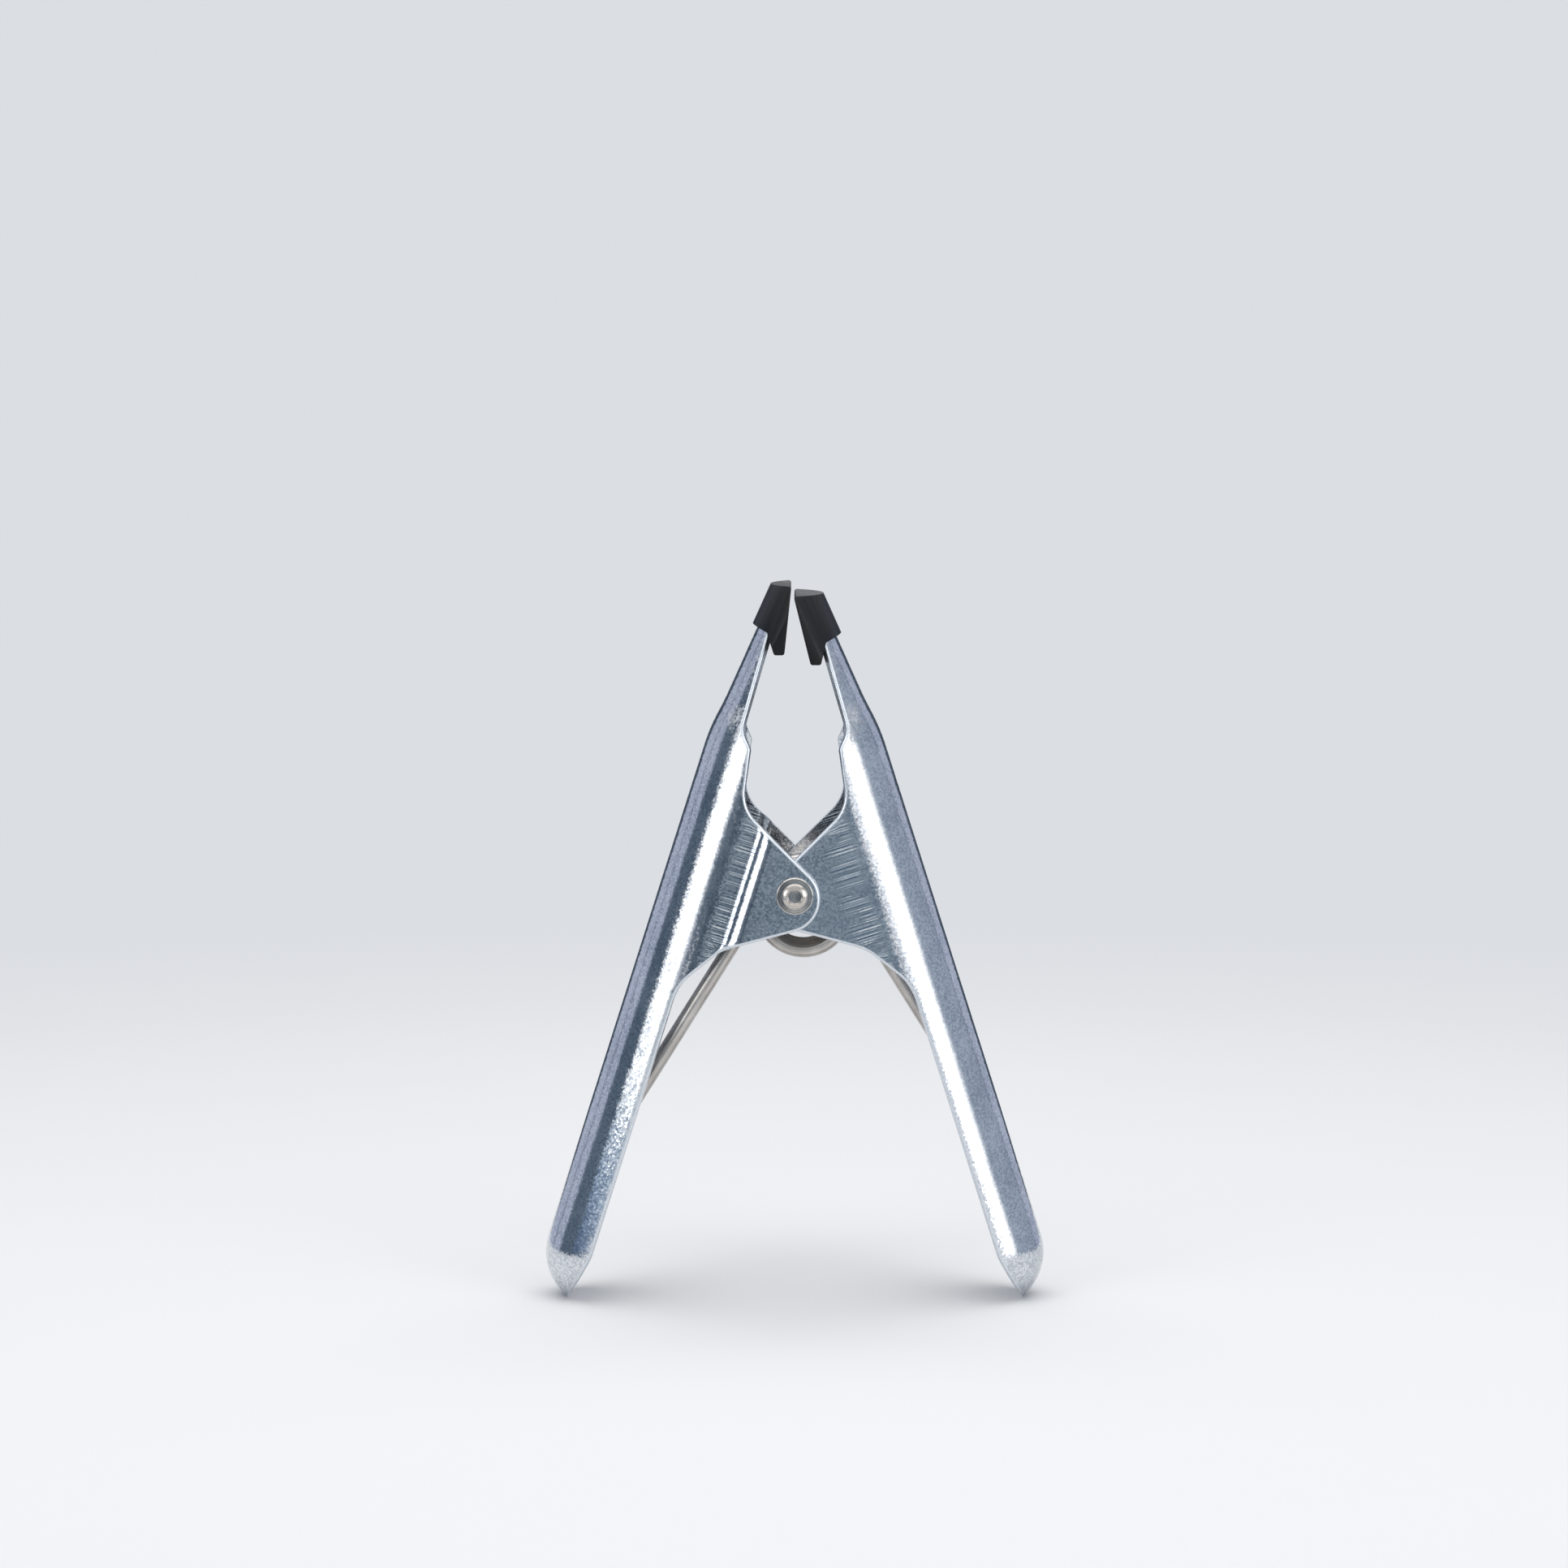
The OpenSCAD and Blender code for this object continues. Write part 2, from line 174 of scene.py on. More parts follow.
def makeBoards():
    reach = boards["distance"] * mm
    black = (0, 0, 0, 1)
    for name, first, last, foot, top, climb, leftTone, rightTone in boards["screens"]:
        count = max(1, round((last - first) / boards["step"]))
        turns = [(last - first) * k / count for k in range(count + 1)]
        faces = [(2 * k, 2 * k + 2, 2 * k + 3, 2 * k + 1) for k in range(count)]
        for side, tone in ((-1, leftTone), (1, rightTone)):
            if tone is None:
                continue
            verts = []
            for turn in turns:
                a = math.radians(first + turn)
                for height in (foot, top):
                    z = max(height + climb * turn, 0.0) * mm
                    verts.append((side * reach * math.sin(a), -reach * math.cos(a), z))
            mesh = bpy.data.meshes.new(name + "_board")
            mesh.from_pydata(verts, [], faces)
            # each board glows in its tone for mirror rays only, painting the reflections that the steel
            # shows
            material, tree, shader = newMaterial("glowing_reflection_screen", Base_Color=black, Specular_IOR_Level=0.0,
                                                 Emission_Color=linear(tone), Emission_Strength=1.0)
            material.cycles.emission_sampling = "NONE"
            board = newObject(name + "_board", mesh, material)
            board.visible_camera = False
            board.visible_diffuse = False
            board.visible_shadow = False


# Light: two soft boxes beside the camera, each with two dimmer ones about it to soften its edge, and one
# overhead. Each panel has the azimuth and elevation of its middle, a width, a height and a roll, all in
# degrees, and a radiance. The distance is in mm
studio = dict(distance=700.0, world="#5E6064", worldStrength=1.0, panels=[
    ("keyLeft", -44.5, 9.2, 27, 15.5, -16, 1.4),
    ("keyRight", 44.5, 6, 27, 22, 0, 2.2),
    ("haloLeft", -45, 9.2, 30, 20, -16, 0.7),
    ("haloRight", 41.5, 6, 43, 27, 0, 0.35),
    ("rimLeft", -45.5, 9, 34, 24, -16, 0.3),
    ("rimRight", 42.5, 6, 49, 31, 0, 0.15),
    ("overhead", 0, 88, 84, 84, 0, 1.9)])


def makeLight():
    reach = studio["distance"] * mm
    for name, azimuth, elevation, width, height, roll, radiance in studio["panels"]:
        data = bpy.data.lights.new(name, "AREA")
        data.shape = "RECTANGLE"
        data.size = 2 * reach * math.tan(math.radians(width / 2))
        data.size_y = 2 * reach * math.tan(math.radians(height / 2))
        data.energy = radiance * math.pi * data.size * data.size_y
        lamp = bpy.data.objects.new(name, data)
        bpy.context.scene.collection.objects.link(lamp)
        a, e = math.radians(azimuth), math.radians(elevation)
        towards = Vector((math.sin(a) * math.cos(e), -math.cos(a) * math.cos(e), math.sin(e)))
        lamp.location = pivot + towards * reach
        turn = Quaternion((0, 0, 1), math.radians(roll))
        lamp.rotation_euler = (towards.to_track_quat("Z", "Y") @ turn).to_euler()
        lamp.visible_camera = False
    world = bpy.data.worlds.new("studio")
    bpy.context.scene.world = world
    world.use_nodes = True
    tree = world.node_tree
    tree.nodes.clear()
    shade = addNode(tree, "ShaderNodeBackground", {"Color": linear(studio["world"]),
                                                   "Strength": studio["worldStrength"]})
    pale = addNode(tree, "ShaderNodeBackground", {"Color": linear(stage["far"])})
    both = addNode(tree, "ShaderNodeMixShader", {0: seenRays(tree), 1: shade.outputs[0],
                                                 2: pale.outputs[0]})
    addNode(tree, "ShaderNodeOutputWorld", {"Surface": both.outputs[0]})
    bpy.context.scene.view_settings.view_transform = "Standard"


makeStage()
makeBoards()
makeLight()
print("stage,", len(boards["screens"]), "kinds of board and", len(studio["panels"]), "light panels made")

# Levers, in mm and degrees. The blank is drawn flat, s across it from the ridge and t along it, then bent:
# x runs inwards from the pivot, y along the lever to the jaw, z to the front
lever = dict(
    handleTilt=17.6, backReach=19.1, backRadius=8.5, sheet=1.0, handleHeight=6.8, noseReach=60.6,
    noseCut=11.0, lobeRadius=4.9, lobeBack=1.0, lobeLow=0.9, topSlope=45.0, lowSlope=15.0, throatBack=11.1,
    throatRadius=6.0, earTurn=7.5, earFoot=18.0, archRadius=8.0, stepMiddle=6.9, stepTilt=40.0,
    stepRound=2.3, earGap=0.15, holeRadius=1.75, holeSides=24, creaseReach=18.4, creaseStep=0.25,
    jawBend=6.5, jawLength=21.4, jawTipRadius=7.0, jawEdge=15.4, dipEdge=14.7, bumpEdge=12.7,
    bumpRadius=1.0, dipSlope=44.0, dipRadius=3.5, shoulderBelow=3.5, shoulderAbove=6.0, rollRun=0.42,
    rollDepth=0.28, burr=0.12, edgeRings=5, edgeStep=0.6, edgeClear=0.54, rowStep=1.0, fineStep=0.25,
    fineMargin=(1.0, 0.5), columnAngle=4.5)

pipeX = lever["backRadius"] - lever["backReach"]
handleX = lever["handleHeight"] - lever["backReach"]
quarter = lever["backRadius"] * math.pi / 2  # length of sheet from the ridge to the flat ear
holeS = quarter - pipeX  # from the ridge to the rivet's hole, across the blank
rootRadius = lever["backRadius"] - lever["creaseStep"]  # of the jaw at the crease
jawTaper = math.atan((rootRadius - lever["jawTipRadius"]) / lever["jawLength"])
jawLean = math.radians(lever["jawBend"]) - jawTaper
jawEnd = lever["creaseReach"] + lever["jawLength"] * math.cos(math.radians(lever["jawBend"]))


def sectionAt(y):  # middle and radius of the half-round back: a pipe up to the crease, then a leaning cone
    rootX = lever["creaseStep"] - lever["backReach"] + rootRadius * math.cos(jawLean)
    above = y - lever["creaseReach"]
    along = (above + rootRadius * math.sin(jawLean)) / math.cos(jawLean)
    share = smoothStep(-lever["shoulderBelow"], lever["shoulderAbove"], above)
    coneX = rootX + along * math.sin(jawLean)
    coneRadius = rootRadius - along * math.tan(jawTaper)
    middle = pipeX + (coneX - pipeX) * share
    return middle, lever["backRadius"] + (coneRadius - lever["backRadius"]) * share


def stepAt(x, lift):  # rise and slope of the ear's outward step: a bend, a short ramp and a bend back
    if lift == 0:
        return 0, 0
    tilt, radius = math.radians(lever["stepTilt"]), lever["stepRound"]
    bendRun, bendRise = radius * math.sin(tilt), radius * (1 - math.cos(tilt))
    ramp = (lift - 2 * bendRise) / math.tan(tilt)
    off = x + lever["stepMiddle"]
    if abs(off) <= ramp / 2:
        return lift / 2 + off * math.tan(tilt), math.tan(tilt)
    left = max(ramp / 2 + bendRun - abs(off), 0)
    drop = math.sqrt(radius ** 2 - left ** 2)
    return (radius - drop if off < 0 else lift - radius + drop), left / drop


def bend(s, t, depth, lift):  # a point of the bent sheet, depth below its outer face
    side = 1 if s >= 0 else -1
    turn = math.pi - min(abs(s), quarter) / lever["backRadius"]
    if t < -lever["noseReach"]:  # domed nose
        drop = (-lever["noseReach"] - t) / lever["backRadius"]
        radius = lever["backRadius"] - depth
        around = radius * math.cos(drop)
        y = -lever["noseReach"] - radius * math.sin(drop)
        return Vector((pipeX + around * math.cos(turn), y, side * around * math.sin(turn)))
    middle, radius = sectionAt(t)
    if abs(s) <= quarter:  # half-round back
        around = radius - depth
        return Vector((middle + around * math.cos(turn), t, side * around * math.sin(turn)))
    x = middle + abs(s) - quarter
    rise, slope = stepAt(x, lift)
    up = 1 / math.hypot(1, slope)
    out = lever["sheet"] / 2 - depth
    height = radius - lever["sheet"] / 2 + rise
    return Vector((x - slope * up * out, t, side * (height + up * out)))


def normalAt(s, t, depth, lift, reach=0.02):
    across = bend(s + reach, t, depth, lift) - bend(s - reach, t, depth, lift)
    along = bend(s, t + reach, depth, lift) - bend(s, t - reach, depth, lift)
    return across.cross(along).normalized()


def flatten(point):  # from the side outline's x, y to the blank's s, t
    x, y = point
    radius, middle, t = lever["backRadius"], pipeX, y
    if y < -lever["noseReach"]:
        drop = math.asin(min((-lever["noseReach"] - y) / radius, 1.0))
        t = -lever["noseReach"] - radius * drop
        radius *= math.cos(drop)
    else:
        middle, radius = sectionAt(y)
    if x > middle:
        return Vector((quarter + x - middle, t))
    return Vector((lever["backRadius"] * (math.pi - math.acos(max((x - middle) / radius, -1.0))), t))


def roundedPath(corners, step, fewest=3):  # corners with radii as an open path, each arc in steps
    path = [Vector(corners[0][0])]
    for (a, _), (b, radius), (c, _) in zip(corners, corners[1:], corners[2:]):
        corner = Vector(b)
        u, v = (Vector(a) - corner).normalized(), (Vector(c) - corner).normalized()
        half = u.angle(v) / 2
        middle = corner + (u + v).normalized() * radius / math.sin(half)
        first, last = [corner + w * radius / math.tan(half) - middle for w in (u, v)]
        start = math.atan2(first.y, first.x)
        sweep = (math.atan2(last.y, last.x) - start + math.pi) % (2 * math.pi) - math.pi
        count = max(fewest, math.ceil(abs(sweep) * radius / step))
        angles = [start + sweep * k / count for k in range(count + 1)]
        path += [middle + radius * Vector((math.cos(angle), math.sin(angle))) for angle in angles]
    return path + [Vector(corners[-1][0])]


def edgeOfBlank(lift):  # the front edge from the jaw's end to the tip of the nose, as s, t
    topDir = math.radians(lever["topSlope"] - lever["handleTilt"])
    lowDir = math.radians(lever["lowSlope"] + lever["handleTilt"])
    aim, reach = (lowDir - topDir) / 2, lever["lobeRadius"] / math.sin((topDir + lowDir) / 2)
    lobe = Vector((reach * math.cos(aim) - lever["lobeBack"], reach * math.sin(aim) - lever["lobeLow"]))
    throat = (-lever["throatBack"], lobe.y + (lobe.x + lever["throatBack"]) * math.tan(topDir))
    arch = (-lever["earTurn"], lobe.y - (lobe.x + lever["earTurn"]) * math.tan(lowDir))
    dipRun = (lever["dipEdge"] - lever["bumpEdge"]) / math.tan(math.radians(lever["dipSlope"]))
    cut = math.radians(lever["noseCut"])
    foot = (handleX - pipeX) * -math.sin(cut)  # the cut's run to the dome's outline
    run = -foot + math.sqrt(foot ** 2 - (handleX - pipeX) ** 2 + lever["backRadius"] ** 2)
    tip = (handleX - run * math.sin(cut), -lever["noseReach"] - run * math.cos(cut))
    path = roundedPath([
        ((-lever["jawEdge"], jawEnd), 0),
        ((-lever["dipEdge"], lever["creaseReach"] + dipRun), lever["dipRadius"]),
        ((-lever["bumpEdge"], lever["creaseReach"]), lever["bumpRadius"]),
        (throat, lever["throatRadius"]),
        (lobe, lever["lobeRadius"]),
        (arch, lever["archRadius"]),
        ((handleX, -lever["earFoot"]), lever["archRadius"]),
        ((handleX, -lever["noseReach"]), lever["backRadius"]),
        (tip, 0)], lever["edgeStep"])

    def finer(a, b):
        if (bend(*flatten(a), 0, lift) - bend(*flatten(b), 0, lift)).length < lever["edgeStep"]:
            return [b]
        return finer(a, (a + b) / 2) + finer((a + b) / 2, b)

    points = [path[0]]
    for a, b in zip(path, path[1:]):
        points += finer(a, b)
    return [flatten(p) for p in points]


def columnsAndRows():  # grid of the blank, finer along the ear's step and across the crease
    columns = [lever["backRadius"] * math.radians(lever["columnAngle"]) * k
               for k in range(int(90 / lever["columnAngle"]) + 1)]
    x = pipeX
    while x < lever["lobeRadius"]:
        close = abs(x + lever["stepMiddle"]) < lever["stepRound"]
        x += lever["fineStep"] / 2 if close else lever["rowStep"]
        columns.append(quarter + x - pipeX)
    low = -lever["shoulderBelow"] - lever["fineMargin"][0]
    high = lever["shoulderAbove"] + lever["fineMargin"][1]
    rows, t = [], -lever["noseReach"] - lever["backRadius"] * math.pi / 2
    while t < jawEnd:
        t += lever["fineStep"] if low < t - lever["creaseReach"] < high else lever["rowStep"]
        rows.append(t)
    return columns, rows


def loopsOfBlank(front):  # the outline, counter-clockwise from the tip up the front edge, and two holes
    endStep = lever["edgeStep"] / lever["backRadius"] * lever["jawTipRadius"]
    endCount = math.ceil(2 * front[0].x / endStep)
    end = [Vector((front[0].x * (2 * k / endCount - 1), front[0].y)) for k in range(1, endCount)]
    rear = [Vector((-p.x, p.y)) for p in front]
    loops = [front[::-1] + end[::-1] + rear[:-1]]
    angles = [-2 * math.pi * k / lever["holeSides"] for k in range(lever["holeSides"])]
    for middle in (holeS, -holeS):
        loops.append([Vector((middle + lever["holeRadius"] * math.cos(angle),
                              lever["holeRadius"] * math.sin(angle))) for angle in angles])
    return loops


def gridOfBlank(front, loops):  # points inside the outline, clear of its edge and of the holes
    rim = [p for loop in loops for p in loop]
    tree = KDTree(len(rim))
    for i, p in enumerate(rim):
        tree.insert((p.x, p.y, 0), i)
    tree.balance()
    columns, rows = columnsAndRows()
    across = sorted({c * side for c in columns for side in (1, -1)})
    grid = []
    for t in rows:
        if not front[-1].y < t < jawEnd:
            continue
        k = next(i for i in range(len(front) - 1) if front[i + 1].y <= t)
        a, b = front[k], front[k + 1]
        edge = a.x + (b.x - a.x) * (t - a.y) / (b.y - a.y)
        for s in across:
            inHole = math.hypot(abs(s) - holeS, t) < lever["holeRadius"]
            if abs(s) < edge and not inHole and tree.find((s, t, 0))[2] > lever["edgeClear"]:
                grid.append(Vector((s, t)))
    return grid


def trianglesOfBlank(flat, rings, insideOnly=1, mergeGap=1e-5, holeShare=0.98):  # none over the holes
    edges = [(ring[i], ring[(i + 1) % len(ring)]) for ring in rings[1:] for i in range(len(ring))]
    made = delaunay_2d_cdt(flat, edges, [rings[0]], insideOnly, mergeGap)
    source = [origins[0] for origins in made[3]]
    triangles = []
    for face in made[2]:
        corners = [source[i] for i in face]
        middle = sum((flat[i] for i in corners), Vector((0, 0))) / 3
        if math.hypot(abs(middle.x) - holeS, middle.y) < lever["holeRadius"] * holeShare:
            continue
        u, v = flat[corners[1]] - flat[corners[0]], flat[corners[2]] - flat[corners[0]]
        triangles.append(corners if u.x * v.y - u.y * v.x > 0 else corners[::-1])
    return triangles


def profileOfEdge():  # rolled over on the outer side, nearly square on the inner one
    profile = []  # inset from the edge, depth below the outer face, and the way it faces
    for run, drop, first in ((lever["rollRun"], lever["rollDepth"], 0), (lever["burr"], lever["burr"], 90)):
        for k in range(lever["edgeRings"]):
            angle = math.radians(first + 90 * k / (lever["edgeRings"] - 1))
            depth = drop * (1 - math.cos(angle))
            if first > 0:
                depth = lever["sheet"] - drop * (1 + math.cos(angle))
            facing = Vector((math.sin(angle) * drop, math.cos(angle) * run)).normalized()
            profile.append((run * (1 - math.sin(angle)), depth, facing))
    return profile


def makeLever(name, lift, mirrored, zinc, cutEdge):
    front = edgeOfBlank(lift)
    loops = loopsOfBlank(front)
    rings, flat = [], []
    for loop in loops:
        rings.append(list(range(len(flat), len(flat) + len(loop))))
        flat += loop
    flat += gridOfBlank(front, loops)
    count = len(flat)
    points, normals, uvs, faces, cutFaces = [], [], [], [], []
    for depth, sign in ((0, 1), (lever["sheet"], -1)):  # both faces of the sheet
        for p in flat:
            points.append(bend(*p, depth, lift))
            normals.append(normalAt(*p, depth, lift) * sign)
            uvs.append(p)
    for a, b, c in trianglesOfBlank(flat, rings):
        faces += [(a, b, c), (c + count, b + count, a + count)]
    profile = profileOfEdge()
    for ring, loop in zip(rings, loops):  # the sheet's edge
        strips = []
        for i, index in enumerate(ring):
            n = normalAt(*flat[index], 0, lift)
            corner = bend(*flat[index], 0, lift)
            ahead = bend(*loop[(i + 1) % len(loop)], 0, lift) - bend(*loop[i - 1], 0, lift)
            out = ahead.cross(n).normalized()
            strip = []
            for inset, depth, (outward, upward) in profile:
                strip.append(len(points))
                points.append(corner - out * inset - n * depth)
                normals.append(n * upward + out * outward)
                uvs.append(flat[index])
            points[index], points[index + count] = points[strip[0]], points[strip[-1]]
            strip[0], strip[-1] = index, index + count
            strips.append(strip)
        for i, strip in enumerate(strips):
            after = strips[(i + 1) % len(strips)]
            for k in range(len(strip) - 1):
                cutFaces.append((strip[k], strip[k + 1], after[k + 1], after[k]))
    faces += cutFaces

    tilt = Matrix.Rotation(-math.radians(lever["handleTilt"]), 3, "Z")
    stand = Matrix(((-1 if mirrored else 1, 0, 0), (0, 0, -1), (0, 1, 0))) @ tilt
    if mirrored:
        faces = [face[::-1] for face in faces]
    mesh = bpy.data.meshes.new(name)
    mesh.from_pydata([pivot + stand @ p * mm for p in points], [], faces)
    layer = mesh.uv_layers.new(name="blank")
    for loop in mesh.loops:
        layer.data[loop.index].uv = uvs[loop.vertex_index] * mm
    mesh.polygons.foreach_set("use_smooth", [True] * len(faces))
    mesh.polygons.foreach_set("material_index", [0] * (len(faces) - len(cutFaces)) + [1] * len(cutFaces))
    obj = newObject(name, mesh, zinc, cutEdge)
    mesh.normals_split_custom_set_from_vertices([stand @ n for n in normals])
    print(name, len(points), "points", len(faces), "faces")
    return obj


# Blue-passivated zinc on pressed steel, in mm: a cool dull mirror of fine plated grains that each lean a
# little, so that highlights end in speckle, and short bright scores across the ears where the die dragged.
# Grains and scores are drawn about half as wide again as they are, so that they show
zincLook = dict(light="#E1E3E6", shade="#B3B9C1", cloud=7.0, cloudDetail=3.0, cloudRange=(0.3, 0.7),
                grain=0.27, grainLean=0.025, grainTone=0.45, toneRange=(0.3, 0.7), roughness=(0.11, 0.15),
                scoreWidth=0.28, scoreDepth=0.03, scoreDetail=1.0, scoreRange=(0.4, 0.6),
                scoreLight="#FAFCFD", scoreDark="#8796A5", scoreRoughness=0.18, patch=(4.2, 2.4),
                ragged=2.4)

# Where the scores fade in and out across each blank, from its ridge, and which patches hold them
scoreBands = dict(outer=dict(fadeIn=(14.9, 15.6), fadeOut=(17.3, 18.0), patchRange=(0.2, 0.45)),
                  inner=dict(fadeIn=(14.4, 15.4), fadeOut=(17.8, 20.4), patchRange=(0.36, 0.5)))


def makeZinc(name, fadeIn, fadeOut, patchRange):
    material, tree, shader = newMaterial(name, Metallic=1.0)
    place = addNode(tree, "ShaderNodeTexCoord").outputs["Object"]
    blank = addNode(tree, "ShaderNodeUVMap", uv_map="blank").outputs[0]
    across, along = addNode(tree, "ShaderNodeSeparateXYZ", {0: blank}).outputs[:2]
    across = addNode(tree, "ShaderNodeMath", {0: across}, operation="ABSOLUTE").outputs[0]
    cloud = addNode(tree, "ShaderNodeTexNoise", {
        "Vector": place, "Scale": 1 / (zincLook["cloud"] * mm),
        "Detail": zincLook["cloudDetail"]}).outputs["Fac"]
    grain = addNode(tree, "ShaderNodeTexVoronoi", {
        "Vector": place, "Scale": 1 / (zincLook["grain"] * mm)}).outputs["Color"]
    speck = addNode(tree, "ShaderNodeSeparateXYZ", {0: grain}).outputs["X"]
    score = addNode(tree, "ShaderNodeTexNoise", noise_dimensions="1D", inputs={
        "W": along, "Scale": 1 / (zincLook["scoreWidth"] * mm),
        "Detail": zincLook["scoreDetail"]}).outputs["Fac"]

    # the scores' mask: a band with ragged ends, broken into patches
    patchLong, patchWide = zincLook["patch"]
    spread = addNode(tree, "ShaderNodeMapping", {
        "Vector": blank, "Scale": (1 / (patchLong * mm), 1 / (patchWide * mm), 1)}).outputs[0]
    patch = addNode(tree, "ShaderNodeTexNoise", {
        "Vector": spread, "Scale": 1.0, "Detail": zincLook["scoreDetail"]}).outputs["Fac"]
    ragged = addNode(tree, "ShaderNodeMath", {0: score, 1: zincLook["ragged"] * mm, 2: across},
                     operation="MULTIPLY_ADD").outputs[0]
    mask = 1.0
    for socket, low, high, ends in ((ragged, fadeIn[0] * mm, fadeIn[1] * mm, (0.0, 1.0)),
                                    (ragged, fadeOut[0] * mm, fadeOut[1] * mm, (1.0, 0.0)),
                                    (patch, *patchRange, (0.0, 1.0))):
        part = addNode(tree, "ShaderNodeMapRange", {"Value": socket, "From Min": low, "From Max": high,
                                                    "To Min": ends[0], "To Max": ends[1]}).outputs[0]
        mask = addNode(tree, "ShaderNodeMath", {0: mask, 1: part}, operation="MULTIPLY").outputs[0]

    tone = addNode(tree, "ShaderNodeMix", {0: zincLook["grainTone"], 2: cloud, 3: speck}).outputs[0]
    picks = []
    for socket, (low, high) in ((tone, zincLook["toneRange"]), (score, zincLook["scoreRange"])):
        picks.append(addNode(tree, "ShaderNodeMapRange", {"Value": socket, "From Min": low,
                                                          "From Max": high}).outputs[0])
    base = addNode(tree, "ShaderNodeMix", {0: picks[0], 6: linear(zincLook["shade"]),
                                           7: linear(zincLook["light"])}, data_type="RGBA").outputs[2]
    drag = addNode(tree, "ShaderNodeMix", {0: picks[1], 6: linear(zincLook["scoreDark"]),
                                           7: linear(zincLook["scoreLight"])}, data_type="RGBA").outputs[2]
    colour = addNode(tree, "ShaderNodeMix", {0: mask, 6: base, 7: drag}, data_type="RGBA").outputs[2]
    tree.links.new(colour, shader.inputs["Base Color"])

    (low, high), (smooth, dull) = zincLook["cloudRange"], zincLook["roughness"]
    rough = addNode(tree, "ShaderNodeMapRange", {"Value": cloud, "From Min": low, "From Max": high,
                                                 "To Min": smooth, "To Max": dull}).outputs[0]
    rough = addNode(tree, "ShaderNodeMix", {0: mask, 2: rough, 3: zincLook["scoreRoughness"]}).outputs[0]
    tree.links.new(rough, shader.inputs["Roughness"])

    lean = zincLook["grainLean"]
    leaning = addNode(tree, "ShaderNodeNewGeometry").outputs["Normal"]
    leaning = addNode(tree, "ShaderNodeVectorMath", {0: grain, 1: (2 * lean,) * 3, 2: leaning},
                      operation="MULTIPLY_ADD").outputs[0]
    leaning = addNode(tree, "ShaderNodeVectorMath", {0: leaning, 1: (lean,) * 3},
                      operation="SUBTRACT").outputs[0]
    leaning = addNode(tree, "ShaderNodeVectorMath", {0: leaning}, operation="NORMALIZE").outputs[0]
    bump = addNode(tree, "ShaderNodeBump", {"Height": score, "Distance": zincLook["scoreDepth"] * mm,
                                            "Strength": mask, "Normal": leaning})
    tree.links.new(bump.outputs[0], shader.inputs["Normal"])
    return material


# Sheared edge of the sheet under the same plating, in mm: paler and duller, finely mottled
edgeLook = dict(light="#F2F5F8", shade="#BCC4CD", mottle=0.3, detail=3.0, roughness=0.36)


def makeCutEdge():
    material, tree, shader = newMaterial("sheared_zinc_edge", Metallic=1.0, Roughness=edgeLook["roughness"])
    place = addNode(tree, "ShaderNodeTexCoord").outputs["Object"]
    spots = addNode(tree, "ShaderNodeTexNoise", {
        "Vector": place, "Scale": 1 / (edgeLook["mottle"] * mm), "Detail": edgeLook["detail"]})
    colour = addNode(tree, "ShaderNodeMix", {0: spots.outputs["Fac"], 6: linear(edgeLook["shade"]),
                                             7: linear(edgeLook["light"])}, data_type="RGBA")
    tree.links.new(colour.outputs[2], shader.inputs["Base Color"])
    return material


cutEdge = makeCutEdge()
for body, lift, mirrored in (("outer", lever["sheet"] + lever["earGap"], False), ("inner", 0.0, True)):
    zinc = makeZinc(body + "_zinc_plated_steel", **scoreBands[body])
    sheet = makeLever(body + "_lever_sheet", lift, mirrored, zinc, cutEdge)
    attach(sheet, body + "_lever")
    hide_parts(body + "_lever")

# Torsion spring, in mm and degrees: its turns hang on the rivet and a straight leg presses in each channel
spring = dict(wire=2.2, coilRadius=6.1, turns=3, pitch=2.75, coilClear=0.2, coilShift=1.2, legTilt=32.0,
              legClear=0.3, turnPoints=48, legPoints=10, sides=24, endRound=0.35, endSteps=4, endPower=0.5,
              endScale=0.6)


def springPath():  # points from the front leg's end round the coil to the rear leg's end
    tilt, handle = math.radians(spring["legTilt"]), math.radians(lever["handleTilt"])
    radius = spring["coilRadius"]
    hang = radius - spring["wire"] / 2 - rivet["shankRadius"] - spring["coilClear"]
    drop = math.sqrt(hang ** 2 - spring["coilShift"] ** 2)
    sweep = 2 * math.pi * spring["turns"] + math.pi - 2 * tilt
    side = spring["pitch"] * sweep / (4 * math.pi)
    room = lever["backRadius"] - lever["sheet"] - spring["wire"] / 2 - spring["legClear"]
    wallX = pipeX - math.sqrt(room ** 2 - side ** 2)
    steps = math.ceil(sweep / (2 * math.pi) * spring["turnPoints"])
    coil = []
    for k in range(steps + 1):
        a = math.pi - tilt - sweep * k / steps
        coil.append(Vector((spring["coilShift"] + radius * math.cos(a), radius * math.sin(a) - drop,
                            side * (1 - 2 * k / steps))))
    legs, endSteps = [], spring["endSteps"]
    for start, mirror in ((coil[0], 1), (coil[-1], -1)):
        toWall = mirror * start.x * math.cos(handle) - start.y * math.sin(handle) - wallX
        length = toWall / math.sin(tilt - handle)
        away = Vector((-mirror * math.sin(tilt), -math.cos(tilt), 0))
        even = [length * k / spring["legPoints"] for k in range(1, spring["legPoints"])]
        close = [length - spring["endRound"] * (1 - k / endSteps) for k in range(endSteps + 1)]
        legs.append([start + away * d for d in even + close])
    return [pivot + Vector((p.x, -p.z, p.y)) * mm for p in legs[0][::-1] + coil + legs[1]]


